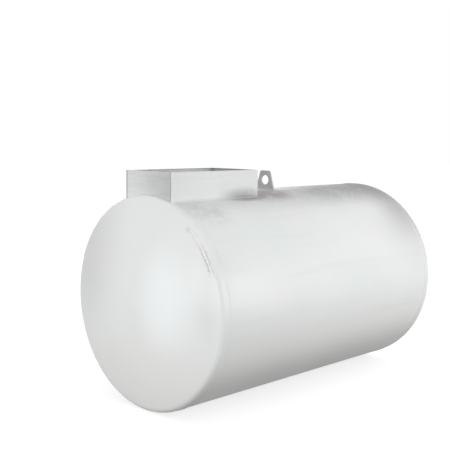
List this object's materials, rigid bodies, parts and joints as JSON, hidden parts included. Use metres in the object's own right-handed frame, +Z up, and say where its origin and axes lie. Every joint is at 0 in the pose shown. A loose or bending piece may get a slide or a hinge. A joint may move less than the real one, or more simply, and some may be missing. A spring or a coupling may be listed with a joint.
{
  "type": "underground fuel storage tank",
  "caption": "Horizontal cylindrical steel fuel tank for burial, with dished ends, an open-topped box round its hatch and pipe sockets, and a lifting lug.",
  "frame": {"origin": "on the ground under the middle of the tank's belly", "axes": "+X along the tank, away from the end with the fittings box; +Z up; -Y is the long side to the right of someone who faces the box end"},
  "size_m": [2.2912, 1.275, 1.4085],
  "materials": {
    "coated_steel": "satin off-white protective coat on rolled steel plate",
    "coated_weld": "weld bead under the same off-white coat",
    "box_sheet": "thin off-white coat over brushed sheet steel",
    "zinc_plated": "zinc-plated steel",
    "cap_alloy": "cast alloy, as cast",
    "gasket_rubber": "matt black sheet rubber"
  },
  "bodies": {
    "root": {"front_head": "coated_steel", "rear_head": "coated_steel", "shell": "coated_steel", "front_head_weld": "coated_weld", "rear_head_weld": "coated_weld", "shell_seam_weld": "coated_weld", "box_front_panel": "box_sheet", "box_rear_panel": "box_sheet", "box_left_panel": "box_sheet", "box_right_panel": "box_sheet", "box_corner_welds": "coated_weld", "box_base_weld": "coated_weld", "hatch_neck": "coated_steel", "hatch_neck_weld": "coated_weld", "hatch_flange": "coated_steel", "hatch_gasket": "gasket_rubber", "hatch_cover": "coated_steel", "hatch_bolts": "zinc_plated", "hatch_front_handle": "coated_steel", "hatch_rear_handle": "coated_steel", "fill_socket": "coated_steel", "fill_cap": "cap_alloy", "gauge_socket": "coated_steel", "gauge_plug": "zinc_plated", "vent_socket": "coated_steel", "suction_socket": "coated_steel", "return_socket": "coated_steel", "socket_welds": "coated_weld", "earthing_boss": "zinc_plated", "lifting_lug": "coated_steel", "lug_weld": "coated_weld"}
  },
  "joints": []
}
